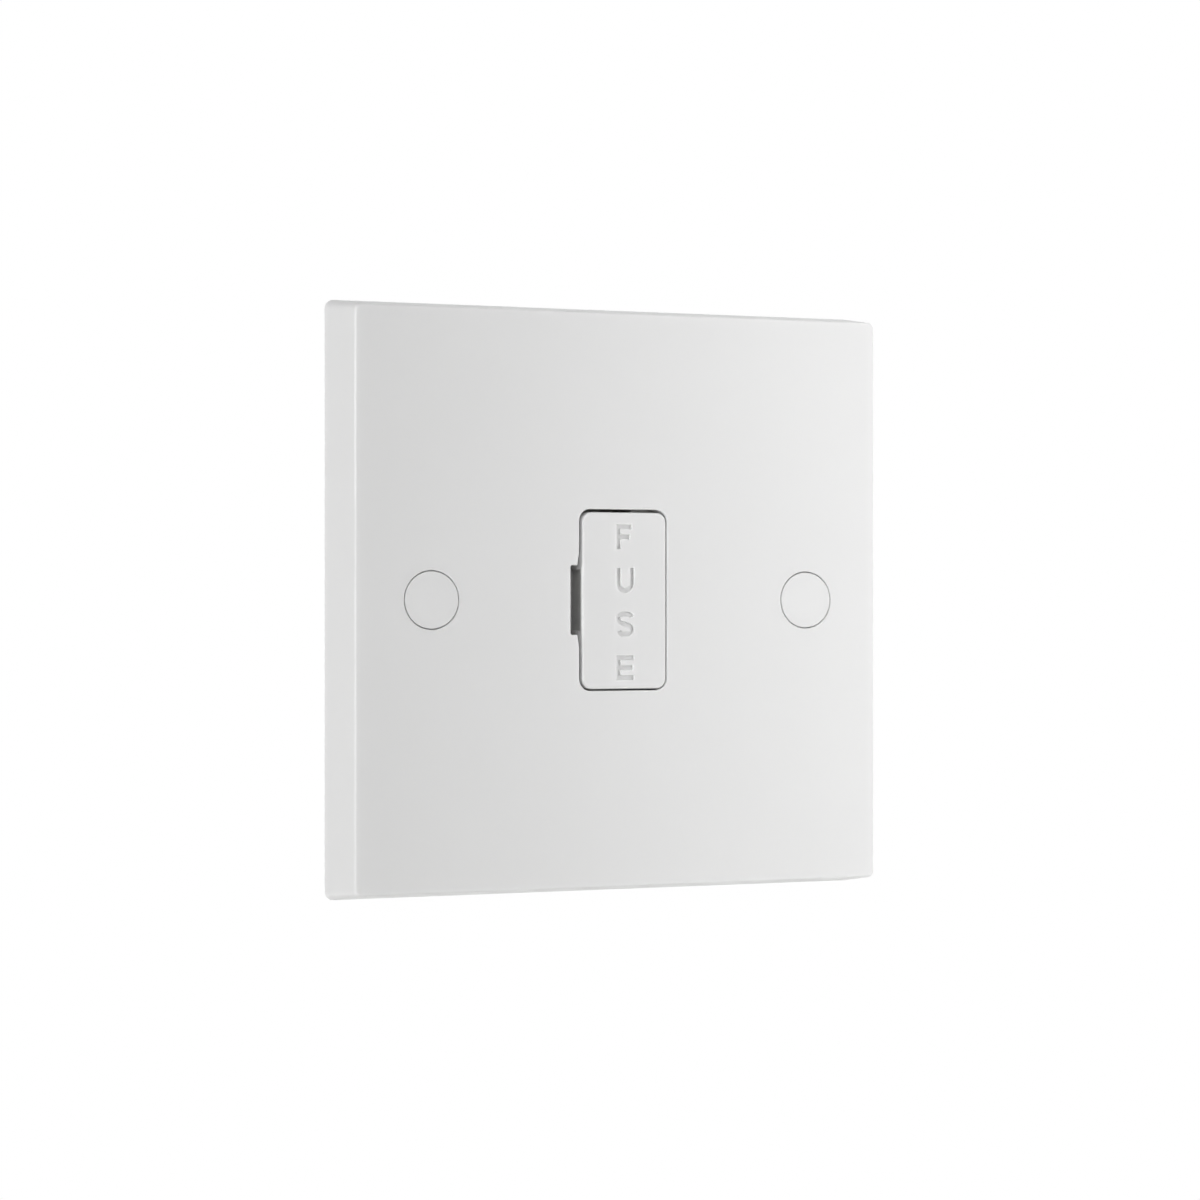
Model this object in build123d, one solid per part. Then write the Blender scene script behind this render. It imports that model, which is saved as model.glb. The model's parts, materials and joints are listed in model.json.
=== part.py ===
from build123d import *
from math import asin, atan2, degrees, hypot
import os

# Fused spur unit for a single-gang wall box. All sizes are in millimetres.
# X runs to the right and Z up, as the unit is seen on the wall. Y runs into the wall.
# The wall is the plane y = 0: the face plate stands in front of it, the terminal housing behind.

# Face plate
PLATE_SIZE = 86.0            # outline at the wall
PLATE_PROJECTION = 9.1       # wall to front face
PLATE_INSET = 1.2            # how far each side slopes in from wall to front
PLATE_CORNER_REAR = 1.3
PLATE_CORNER_FRONT = 0.9
PLATE_EDGE = 0.4             # rounding round the front face
PANEL = 2.6                  # thickness behind the front face
SKIRT = 2.0                  # thickness of the four sides
HOLLOW_CORNER = 1.0
RIB_WIDTH = 1.2
RIB_HEIGHT = 1.6

# Fixing holes for the two box screws, with their push-in covers
FIXING_PITCH = 60.3
FIXING_HOLE = 4.0            # clears an M3.5 screw
PILLAR_WALL = 1.25           # plastic round the cover's recess
PILLAR_SETBACK = 0.3         # keeps the pillars off the wall, so that the rim seats first
SCREW_HEAD_ROOM = 2.6        # left for the screw head behind the cover
CAP_DIAMETER = 8.2
CAP_THICKNESS = 1.1
CAP_SHOULDER = 0.4           # ledge that the cover's rim sits on
CAP_SKIRT = 2.0
CAP_WALL = 0.8
CAP_GAP = 0.15               # round the cover's rim
CAP_SKIRT_GAP = 0.1
CAP_EDGE = 0.12

# Cartridge fuse
FUSE_LENGTH = 25.4
FUSE_DIAMETER = 6.35
FUSE_BARREL = 6.0
FUSE_CAP_LENGTH = 5.5
FUSE_CAP_END = 0.5           # thickness of a cap's end wall
FUSE_CAP_EDGE = 0.3
FUSE_CAP_GAP = 0.02

# Sprung clips that hold the fuse's ends, each with a flat tail
CLIP_GAP = 0.075
CLIP_THICKNESS = 0.6
CLIP_WIDTH = 4.4
CLIP_ARM = 2.2               # arm in front of the fuse's axis
CLIP_FLARE = 0.45            # how far the mouth opens
CLIP_FLARE_LENGTH = 0.7
TAIL_WIDTH = 3.6
TAIL_REACH = 3.0             # how far a tail or link goes into its block
LINK_WIDTH = 5.0
SLOT_GAP = 0.03

# Fuse carrier: a drawer with a flush front, two cheeks and a saddle for the fuse
CARRIER_HEAD = 2.5           # thickness of the visible front
CARRIER_CORNER = 1.5
CARRIER_EDGE = 0.35
FUSE_REST_GAP = 0.125        # fuse caps behind the carrier's front
FUSE_END_ROOM = 0.175        # carrier past each end of the fuse
CLIP_ROOM = 0.85             # clip's mouth to cheek
CHEEK = 1.25
CHEEK_INSET = 0.35           # cheek behind the edge of the carrier's front
SADDLE_GAP = 0.1
SADDLE_WRAP = 1.2            # saddle past the fuse's middle, so that it snaps in
SADDLE_SETBACK = 2.0         # saddle to the fuse's caps
BARB_WIDTH = 3.5             # stops that keep the carrier in the plate
BARB_REACH = 0.3             # hold behind the panel
BARB_THICKNESS = 1.2
FUSE_CLEARANCE = 0.5         # fuse in front of the plate at the end of the travel

# Aperture of the carrier, with a screwdriver notch on its left
CARRIER_GAP_LEFT = 0.5
CARRIER_GAP_RIGHT = 0.15
CARRIER_GAP_TOP = 0.45
CARRIER_GAP_BOTTOM = 0.25
APERTURE_EDGE = 0.2
NOTCH_HEIGHT = 10.1
NOTCH_REACH = 1.35
NOTCH_CORNER = 0.3
FLARE = 0.3                  # the aperture widens a little next to the notch
FLARE_HEIGHT = 1.7
LIP = 0.8                    # front lip that the screwdriver lifts
LIP_POCKET_HEIGHT = 9.0
LIP_POCKET_DEPTH = 1.2
LIP_POCKET_LENGTH = 5.4

# Legend sunk into the carrier, four letters in a column
LETTER_HEIGHT = 3.57
LETTER_WIDTH = 2.8
LETTER_F_WIDTH = 2.42
LETTER_STROKE = 0.66
LETTER_PITCH = 6.37
LETTER_DEPTH = 0.42
LETTER_BEVEL = 0.07
LEGEND_X = 0.3
LEGEND_Z = -0.33

# Pillar terminals: three columns, the supply row above and the load row below
WIRE_BORE = 4.5
WIRE_BORE_LENGTH = 8.0
WIRE_WALL = 0.6              # between the slot of the tail and the wire bore
BLOCK_SIDE = 1.75            # on each side of the wire bore
BLOCK_HEIGHT = 9.0
BLOCK_FRONT_WALL = 1.5       # in front of the slot of the tail
BLOCK_EDGE = 0.3
THREAD_LENGTH = 3.75         # between the wire bore and the block's rear
TERMINAL_SCREW = 3.9
TERMINAL_SCREW_GAP = 0.05
TERMINAL_TIP_GAP = 0.1       # tip stays out of the wire bore
TERMINAL_TIP_EDGE = 0.4
TERMINAL_SHANK_SHOWN = 1.0   # shank between block and head when backed out
TERMINAL_HEAD = 5.8
TERMINAL_HEAD_HEIGHT = 2.2
TERMINAL_HEAD_EDGE = 0.5
TERMINAL_SLOT_WIDTH = 0.9
TERMINAL_SLOT_DEPTH = 1.1

# Rear housing
POCKET_GAP = 0.1             # round each block
PARTITION = 1.1              # between a pocket and a boss of the plate
BASE_SIDE = 1.9
BASE_FLOOR = 2.0
BASE_CORNER = 2.0
BASE_EDGE = 0.5
WELL_ROOM = 0.3              # round the carrier, inside the housing
END_WALL = 3.3               # between the fuse well and the blocks
BRIDGE = 1.5                 # ledge of the fuse well that covers a clip's tail
GUIDE_GAP = 0.15             # fuse and carrier to that ledge
GUIDE_LEFT = 2.4             # rib at the top of the well that steadies the carrier's right end
BANK_STEP = 1.0              # fuse well to the step of a terminal bank
MOUTH = 2.0                  # block to the housing's edge
ACCESS_GAP = 0.4             # round the head of a terminal screw
ACCESS_RECESS = 1.5          # rear face to that head
MARK_HEIGHT = 2.2
MARK_STROKE = 0.45
MARK_RAISE = 0.3
MARK_WIDTHS = {"earth": 2.2, "live": 1.4, "neutral": 1.7}
POST_WIDTH = 4.0             # posts of the plate that hold the blocks down
POST_HEIGHT = 5.0
POST_CORNER = 0.5

# Screws that hold the housing to bosses of the plate
HOUSING_SCREW = 2.9          # core diameter
HOUSING_SCREW_GAP = 0.05
HOUSING_SCREW_ROOM = 0.35    # in the housing, where the screw has no thread to hold
HOUSING_TIP_GAP = 0.6
HOUSING_TIP_EDGE = 0.5
HOUSING_HEAD = 5.8
HOUSING_HEAD_HEIGHT = 2.0
HOUSING_HEAD_EDGE = 0.8
HOUSING_HEAD_GAP = 0.3
HOUSING_RECESS = 0.8         # rear face to the head
CROSS_LENGTH = 3.2
CROSS_WIDTH = 0.7
CROSS_DEPTH = 1.2
BOSS = 5.4
BOSS_LENGTH = 8.0
BOSS_GAP = 0.1
PILOT_FLOOR = 0.5

# Depths, from the front face to the rear
FRONT = -PLATE_PROJECTION
PANEL_BACK = FRONT + PANEL
RIB_BACK = PANEL_BACK + RIB_HEIGHT
HEAD_BACK = FRONT + CARRIER_HEAD
CAP_BACK = FRONT + CAP_THICKNESS
CAP_SKIRT_BACK = CAP_BACK + CAP_SKIRT
SCREW_SEAT = CAP_SKIRT_BACK + SCREW_HEAD_ROOM
FUSE_Y = HEAD_BACK + FUSE_REST_GAP + FUSE_DIAMETER / 2
FUSE_BACK = FUSE_Y + FUSE_DIAMETER / 2
CARRIER_STOP = FUSE_BACK - FRONT + FUSE_CLEARANCE
BARB_FRONT = PANEL_BACK + CARRIER_STOP
BARB_BACK = BARB_FRONT + BARB_THICKNESS
TAIL_FRONT = FUSE_BACK + CLIP_GAP
TAIL_BACK = TAIL_FRONT + CLIP_THICKNESS
BRIDGE_BACK = TAIL_FRONT - POCKET_GAP
WELL_FLOOR = BARB_BACK + WELL_ROOM
MIDDLE_BACK = WELL_FLOOR + BASE_FLOOR
BLOCK_FRONT = TAIL_FRONT - SLOT_GAP - BLOCK_FRONT_WALL
WIRE_Y = TAIL_BACK + SLOT_GAP + WIRE_WALL + WIRE_BORE / 2
WIRE_BACK = WIRE_Y + WIRE_BORE / 2
BLOCK_BACK = WIRE_BACK + THREAD_LENGTH
TERMINAL_HEAD_FRONT = BLOCK_BACK + TERMINAL_SHANK_SHOWN
TERMINAL_HEAD_BACK = TERMINAL_HEAD_FRONT + TERMINAL_HEAD_HEIGHT
BANK_BACK = TERMINAL_HEAD_BACK + ACCESS_RECESS
HOUSING_HEAD_BACK = BANK_BACK - HOUSING_RECESS
HOUSING_SEAT = HOUSING_HEAD_BACK - HOUSING_HEAD_HEIGHT
BOSS_BACK = PANEL_BACK + BOSS_LENGTH
PILOT_FRONT = PANEL_BACK + PILOT_FLOOR

# Widths, from the middle to the sides
CLIP_RADIUS = FUSE_DIAMETER / 2 + CLIP_GAP
CLIP_OUTER = CLIP_RADIUS + CLIP_THICKNESS
CHEEK_INNER = CLIP_OUTER + CLIP_FLARE + CLIP_ROOM
CHEEK_OUTER = CHEEK_INNER + CHEEK
CARRIER_WIDTH = 2 * (CHEEK_OUTER + CHEEK_INSET)
CARRIER_X = (CARRIER_GAP_LEFT - CARRIER_GAP_RIGHT) / 2
APERTURE_WIDTH = CARRIER_WIDTH + CARRIER_GAP_LEFT + CARRIER_GAP_RIGHT
APERTURE_CORNER = CARRIER_CORNER + (CARRIER_GAP_LEFT + CARRIER_GAP_RIGHT) / 2
BARB_TIP = APERTURE_WIDTH / 2 + BARB_REACH
WELL_HALF_WIDTH = BARB_TIP + WELL_ROOM
BLOCK_WIDTH = WIRE_BORE + 2 * BLOCK_SIDE
POCKET_HALF = BLOCK_WIDTH / 2 + POCKET_GAP
BOSS_HOLE = BOSS + 2 * BOSS_GAP
COLUMN_PITCH = 2 * POCKET_HALF + BOSS_HOLE + 2 * PARTITION
BOSS_X = COLUMN_PITCH / 2
BASE_WIDTH = 2 * (COLUMN_PITCH + POCKET_HALF + BASE_SIDE)
ACCESS_HOLE = TERMINAL_HEAD + 2 * ACCESS_GAP
CAP_RECESS = CAP_DIAMETER + 2 * CAP_GAP
HEAD_WELL = CAP_DIAMETER - 2 * CAP_SHOULDER
PILLAR = CAP_RECESS + 2 * PILLAR_WALL
FIXING_X = FIXING_PITCH / 2

# Heights, from the middle to the ends
CARRIER_HEIGHT = FUSE_LENGTH + 2 * FUSE_END_ROOM
CARRIER_Z = (CARRIER_GAP_BOTTOM - CARRIER_GAP_TOP) / 2
APERTURE_HEIGHT = CARRIER_HEIGHT + CARRIER_GAP_TOP + CARRIER_GAP_BOTTOM
CHEEK_HALF = FUSE_LENGTH / 2
GUIDE_Z = CHEEK_HALF + GUIDE_GAP
BARB_Z = (NOTCH_HEIGHT / 2 + FLARE_HEIGHT + CHEEK_HALF) / 2
SADDLE_HALF = FUSE_LENGTH / 2 - FUSE_CAP_LENGTH - SADDLE_SETBACK
CLIP_Z = FUSE_LENGTH / 2 - FUSE_CAP_LENGTH / 2
WELL_HALF_HEIGHT = APERTURE_HEIGHT / 2 + WELL_ROOM
BANK_INNER = WELL_HALF_HEIGHT + BANK_STEP
POCKET_INNER = WELL_HALF_HEIGHT + END_WALL
BLOCK_INNER = POCKET_INNER + POCKET_GAP
BLOCK_OUTER = BLOCK_INNER + BLOCK_HEIGHT
ROW_Z = (BLOCK_INNER + BLOCK_OUTER) / 2
TAIL_END = BLOCK_INNER + TAIL_REACH
BASE_HALF_HEIGHT = BLOCK_OUTER + MOUTH
MARK_Z = (BANK_INNER + ROW_Z - ACCESS_HOLE / 2) / 2

COLUMNS = {"earth": -COLUMN_PITCH, "live": 0.0, "neutral": COLUMN_PITCH}
ROWS = {"supply": 1, "load": -1}
SIDES = {"left": -1, "right": 1}
LEVELS = {"upper": 1, "lower": -1}


def prism(sketch, front, back):
    """Solid of a sketch seen from the front, between two depths."""
    return extrude(Plane.XZ.offset(-back) * sketch, amount=back - front)


def pin(diameter, x, z, front, back):
    """Round solid along Y."""
    return prism(Pos(x, z) * Circle(diameter / 2), front, back)


def upright(diameter, x, y, z0, z1):
    """Round solid along Z."""
    return Pos(x, y, (z0 + z1) / 2) * Cylinder(diameter / 2, abs(z1 - z0))


def bar(x0, x1, y0, y1, z0, z1):
    """Rectangular solid between two corners."""
    centre = Pos((x0 + x1) / 2, (y0 + y1) / 2, (z0 + z1) / 2)
    return centre * Box(abs(x1 - x0), abs(y1 - y0), abs(z1 - z0))


def sloped(front_size, front_corner, front, back_size, back_corner, back):
    """Square block whose sides slope evenly between two depths."""
    near = Plane.XZ.offset(-front) * RectangleRounded(front_size, front_size, front_corner)
    far = Plane.XZ.offset(-back) * RectangleRounded(back_size, back_size, back_corner)
    return loft([far, near], ruled=True)


def front_face(solid):
    """The flat face nearest the viewer."""
    return solid.faces().filter_by(Axis.Y).sort_by(Axis.Y)[0]


def rear_edge(solid):
    """The rim of a round solid's rear end."""
    return solid.edges().sort_by(Axis.Y)[-1]


def tip_edge(solid):
    """The rim of a round solid's front end."""
    return solid.edges().sort_by(Axis.Y)[0]


def stroke(x0, x1, z0, z1):
    """One straight stroke of a letter."""
    return Pos((x0 + x1) / 2, (z0 + z1) / 2) * Rectangle(x1 - x0, z1 - z0)


def letter_e(width, height, weight):
    left, top = -width / 2, height / 2
    short_arm = -left - 0.07 * width
    shape = stroke(left, left + weight, -top, top)
    shape += stroke(left, -left, top - weight, top)
    shape += stroke(left, short_arm, -weight / 2, weight / 2)
    shape += stroke(left, -left, -top, -top + weight)
    return shape


def letter_f(width, height, weight):
    left, top = -width / 2, height / 2
    short_arm = -left - 0.12 * width
    shape = stroke(left, left + weight, -top, top)
    shape += stroke(left, -left, top - weight, top)
    shape += stroke(left, short_arm, -weight / 2, weight / 2)
    return shape


def letter_l(width, height, weight):
    left, top = -width / 2, height / 2
    return stroke(left, left + weight, -top, top) + stroke(left, -left, -top, -top + weight)


def letter_n(width, height, weight):
    left, top = -width / 2, height / 2
    slant = 1.25 * weight
    shape = stroke(left, left + weight, -top, top) + stroke(-left - weight, -left, -top, top)
    diagonal = ((left, top), (left + slant, top), (-left, -top), (-left - slant, -top))
    shape += make_face(Polyline(*diagonal, close=True))
    return shape


def letter_s(width, height, weight):
    side, top = (width - weight) / 2, (height - weight) / 2
    bend = 0.45 * top
    x, z = side - bend, top - bend
    lean = degrees(asin(bend / hypot(x, z)) - atan2(z, x))
    bowl = CenterArc((-x, z), bend, 90, 180 + lean)
    path = [CenterArc((x, z), bend, 20, 70), Line((x, top), (-x, top)), bowl, Line(bowl @ 1, (0, 0))]
    half = trace(path, weight)
    return half + Rot(0, 0, 180) * half


def letter_u(width, height, weight):
    left, top = -width / 2, height / 2
    bend = -top + width / 2
    shape = stroke(left, left + weight, bend, top) + stroke(-left - weight, -left, bend, top)
    ring = Circle(width / 2) - Circle(width / 2 - weight)
    shape += Pos(0, bend) * (ring - Pos(0, width / 2) * Rectangle(2 * width, width))
    return shape


def earth_mark(width, height, weight):
    """Stem on three bars that shorten downwards."""
    shape = stroke(-weight / 2, weight / 2, 0, height / 2)
    for level, share in enumerate((1.0, 0.64, 0.28)):
        shape += Pos(0, -level * height / 4) * Rectangle(width * share, weight)
    return shape


def aperture_outline():
    """Rounded opening, with the notch and the flares beside it on the left."""
    left = -APERTURE_WIDTH / 2
    notch = NOTCH_HEIGHT / 2
    start = notch + FLARE_HEIGHT
    outline = RectangleRounded(APERTURE_WIDTH, APERTURE_HEIGHT, APERTURE_CORNER)
    wide = left - FLARE
    flare = ((left, start), (wide, notch), (wide, -notch), (left, -start), (0, -start), (0, start))
    outline += make_face(Polyline(*flare, close=True))
    notch_left = left - NOTCH_REACH
    outline += Pos(notch_left / 2, 0) * RectangleRounded(-notch_left, NOTCH_HEIGHT, NOTCH_CORNER)
    return outline


def make_front_plate():
    plate = sloped(
        PLATE_SIZE - 2 * PLATE_INSET, PLATE_CORNER_FRONT, FRONT, PLATE_SIZE, PLATE_CORNER_REAR, 0
    )
    plate = fillet(front_face(plate).outer_wire().edges(), PLATE_EDGE)
    hollow_back = PLATE_SIZE - 2 * SKIRT
    hollow_front = hollow_back + 2 * PLATE_INSET * PANEL_BACK / PLATE_PROJECTION
    plate -= sloped(hollow_front, HOLLOW_CORNER, PANEL_BACK, hollow_back, HOLLOW_CORNER, 0)

    half_rib = RIB_WIDTH / 2
    rib_end = (hollow_front + SKIRT) / 2
    for side in SIDES.values():
        x = side * FIXING_X
        plate += pin(PILLAR, x, 0, PANEL_BACK, -PILLAR_SETBACK)
        plate += bar(x, side * rib_end, PANEL_BACK, RIB_BACK, -half_rib, half_rib)
        plate += bar(x - half_rib, x + half_rib, PANEL_BACK, RIB_BACK, -rib_end, rib_end)
        for row in ROWS.values():
            boss_x, boss_z = side * BOSS_X, row * ROW_Z
            plate += pin(BOSS, boss_x, boss_z, PANEL_BACK, BOSS_BACK)
            pilot = HOUSING_SCREW + 2 * HOUSING_SCREW_GAP
            plate -= pin(pilot, boss_x, boss_z, PILOT_FRONT, BOSS_BACK)
            rib_start = row * (BASE_HALF_HEIGHT + POCKET_GAP)
            rib_left, rib_right = boss_x - half_rib, boss_x + half_rib
            plate += bar(rib_left, rib_right, PANEL_BACK, RIB_BACK, rib_start, row * rib_end)
    for x in COLUMNS.values():
        for row in ROWS.values():
            post = Pos(x, row * ROW_Z) * RectangleRounded(POST_WIDTH, POST_HEIGHT, POST_CORNER)
            plate += prism(post, PANEL_BACK, BLOCK_FRONT - POCKET_GAP)

    plate -= prism(aperture_outline(), FRONT, PANEL_BACK)
    aperture = front_face(plate).inner_wires()[0]
    plate = fillet(aperture.edges(), APERTURE_EDGE)
    for side in SIDES.values():
        x = side * FIXING_X
        plate -= pin(CAP_RECESS, x, 0, FRONT, CAP_BACK)
        rim = front_face(plate).inner_wires().sort_by(Axis.X)[0 if side < 0 else -1]
        plate = fillet(rim.edges(), CAP_EDGE)
        plate -= pin(HEAD_WELL, x, 0, CAP_BACK, SCREW_SEAT)
        plate -= pin(FIXING_HOLE, x, 0, SCREW_SEAT, -PILLAR_SETBACK)
    return plate


def make_screw_cap(side):
    """Push-in cover of a box screw: a disc on a thin skirt."""
    x = side * FIXING_X
    cap = pin(CAP_DIAMETER, x, 0, FRONT, CAP_BACK)
    cap = fillet(tip_edge(cap), CAP_EDGE)
    skirt = HEAD_WELL - 2 * CAP_SKIRT_GAP
    cap += pin(skirt, x, 0, CAP_BACK, CAP_SKIRT_BACK)
    cap -= pin(skirt - 2 * CAP_WALL, x, 0, CAP_BACK, CAP_SKIRT_BACK)
    return cap


def make_fuse_carrier():
    head = RectangleRounded(CARRIER_WIDTH, CARRIER_HEIGHT, CARRIER_CORNER)
    carrier = prism(Pos(CARRIER_X, CARRIER_Z) * head, FRONT, HEAD_BACK)
    carrier = fillet(front_face(carrier).outer_wire().edges(), CARRIER_EDGE)

    for side in SIDES.values():
        inner, outer = side * CHEEK_INNER, side * CHEEK_OUTER
        carrier += bar(inner, outer, HEAD_BACK, BARB_BACK, -CHEEK_HALF, CHEEK_HALF)
        for row in ROWS.values():
            low = row * BARB_Z - BARB_WIDTH / 2
            carrier += bar(outer, side * BARB_TIP, BARB_FRONT, BARB_BACK, low, low + BARB_WIDTH)
    saddle_back = FUSE_Y + SADDLE_WRAP
    carrier += bar(-CHEEK_INNER, CHEEK_INNER, HEAD_BACK, saddle_back, -SADDLE_HALF, SADDLE_HALF)
    carrier -= upright(FUSE_BARREL + 2 * SADDLE_GAP, 0, FUSE_Y, -SADDLE_HALF, SADDLE_HALF)

    left = CARRIER_X - CARRIER_WIDTH / 2
    pocket_front = FRONT + LIP
    pocket_back = pocket_front + LIP_POCKET_LENGTH
    half_pocket = LIP_POCKET_HEIGHT / 2
    carrier -= bar(left, left + LIP_POCKET_DEPTH, pocket_front, pocket_back, -half_pocket, half_pocket)

    letters = (
        (letter_f, LETTER_F_WIDTH),
        (letter_u, LETTER_WIDTH),
        (letter_s, LETTER_WIDTH),
        (letter_e, LETTER_WIDTH),
    )
    legend_left = LEGEND_X - LETTER_WIDTH / 2
    rim = 2 * LETTER_BEVEL
    for index, (draw, width) in enumerate(letters):
        z = LEGEND_Z + ((len(letters) - 1) / 2 - index) * LETTER_PITCH
        place = Pos(legend_left + width / 2, z)
        floor = place * draw(width, LETTER_HEIGHT, LETTER_STROKE)
        mouth = place * draw(width + rim, LETTER_HEIGHT + rim, LETTER_STROKE + rim)
        carrier -= prism(floor, FRONT, FRONT + LETTER_DEPTH)
        bevel_back = Plane.XZ.offset(-FRONT - LETTER_BEVEL)
        carrier -= loft([bevel_back * floor, Plane.XZ.offset(-FRONT) * mouth], ruled=True)
    return carrier


def make_fuse_barrel():
    half = FUSE_LENGTH / 2 - FUSE_CAP_END
    return upright(FUSE_BARREL, 0, FUSE_Y, -half, half)


def make_fuse_cap(level):
    """Metal cup over one end of the fuse."""
    end = level * FUSE_LENGTH / 2
    rim = end - level * FUSE_CAP_LENGTH
    cap = upright(FUSE_DIAMETER, 0, FUSE_Y, rim, end)
    end_edge = cap.edges().filter_by(GeomType.CIRCLE).sort_by(Axis.Z)[-1 if level > 0 else 0]
    cap = fillet(end_edge, FUSE_CAP_EDGE)
    bore = FUSE_BARREL + 2 * FUSE_CAP_GAP
    return cap - upright(bore, 0, FUSE_Y, rim, end - level * FUSE_CAP_END)


def make_fuse_clip(row):
    """Clip round one cap of the fuse, with a flat tail that runs to the live terminal."""
    half_round = Circle(CLIP_OUTER) - Circle(CLIP_RADIUS)
    half_round -= Pos(0, -CLIP_OUTER) * Rectangle(2 * CLIP_OUTER, 2 * CLIP_OUTER)
    profile = half_round
    mouth = -CLIP_ARM - CLIP_FLARE_LENGTH
    for side in SIDES.values():
        inner, outer, flare = side * CLIP_RADIUS, side * CLIP_OUTER, side * CLIP_FLARE
        arm = (
            (inner, 0),
            (outer, 0),
            (outer, -CLIP_ARM),
            (outer + flare, mouth),
            (inner + flare, mouth),
            (inner, -CLIP_ARM),
        )
        profile += make_face(Polyline(*arm, close=True))
    start = Plane.XY.offset(row * CLIP_Z - CLIP_WIDTH / 2)
    clip = extrude(start * Pos(0, FUSE_Y) * profile, amount=CLIP_WIDTH)
    half = TAIL_WIDTH / 2
    tail = bar(-half, half, TAIL_FRONT, TAIL_BACK, row * CLIP_Z, row * TAIL_END)
    return clip + (tail - upright(2 * CLIP_RADIUS, 0, FUSE_Y, 0, row * TAIL_END))


def strip_width(column):
    """Width of the strip that enters a column's blocks."""
    return TAIL_WIDTH if column == "live" else LINK_WIDTH


def make_terminal(column, row):
    """Brass pillar block: wire bore along Z, clamp screw along Y, slot for the tail or link."""
    x = COLUMNS[column]
    half = BLOCK_WIDTH / 2
    inner, outer = row * BLOCK_INNER, row * BLOCK_OUTER
    block = bar(x - half, x + half, BLOCK_FRONT, BLOCK_BACK, inner, outer)
    block = chamfer(block.edges().filter_by(Axis.Z), BLOCK_EDGE)
    block -= upright(WIRE_BORE, x, WIRE_Y, outer - row * WIRE_BORE_LENGTH, outer)
    block -= pin(TERMINAL_SCREW + 2 * TERMINAL_SCREW_GAP, x, row * ROW_Z, WIRE_Y, BLOCK_BACK)
    slot = strip_width(column) / 2 + SLOT_GAP
    slot_end = row * (TAIL_END + SLOT_GAP)
    block -= bar(x - slot, x + slot, TAIL_FRONT - SLOT_GAP, TAIL_BACK + SLOT_GAP, inner, slot_end)
    return block


def make_terminal_screw(column, row):
    """Slotted clamp screw, backed out so that the wire bore is open."""
    x, z = COLUMNS[column], row * ROW_Z
    head = pin(TERMINAL_HEAD, x, z, TERMINAL_HEAD_FRONT, TERMINAL_HEAD_BACK)
    head = fillet(rear_edge(head), TERMINAL_HEAD_EDGE)
    reach = TERMINAL_HEAD / 2
    slot = TERMINAL_SLOT_WIDTH / 2
    slot_front = TERMINAL_HEAD_BACK - TERMINAL_SLOT_DEPTH
    head -= bar(x - reach, x + reach, slot_front, TERMINAL_HEAD_BACK, z - slot, z + slot)
    shank = pin(TERMINAL_SCREW, x, z, WIRE_BACK + TERMINAL_TIP_GAP, TERMINAL_HEAD_FRONT)
    return head + chamfer(tip_edge(shank), TERMINAL_TIP_EDGE)


def make_link(column):
    """Flat bar that joins the supply and load blocks of one column."""
    x = COLUMNS[column]
    half = strip_width(column) / 2
    return bar(x - half, x + half, TAIL_FRONT, TAIL_BACK, -TAIL_END, TAIL_END)


def make_housing_screw(side, level):
    """Cross-recessed screw that holds the housing to a boss of the plate."""
    x, z = side * BOSS_X, level * ROW_Z
    head = pin(HOUSING_HEAD, x, z, HOUSING_SEAT, HOUSING_HEAD_BACK)
    head = fillet(rear_edge(head), HOUSING_HEAD_EDGE)
    long, short = CROSS_LENGTH / 2, CROSS_WIDTH / 2
    cross_front = HOUSING_HEAD_BACK - CROSS_DEPTH
    for dx, dz in ((long, short), (short, long)):
        head -= bar(x - dx, x + dx, cross_front, HOUSING_HEAD_BACK, z - dz, z + dz)
    shank = pin(HOUSING_SCREW, x, z, PILOT_FRONT + HOUSING_TIP_GAP, HOUSING_SEAT)
    return head + chamfer(tip_edge(shank), HOUSING_TIP_EDGE)


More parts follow.
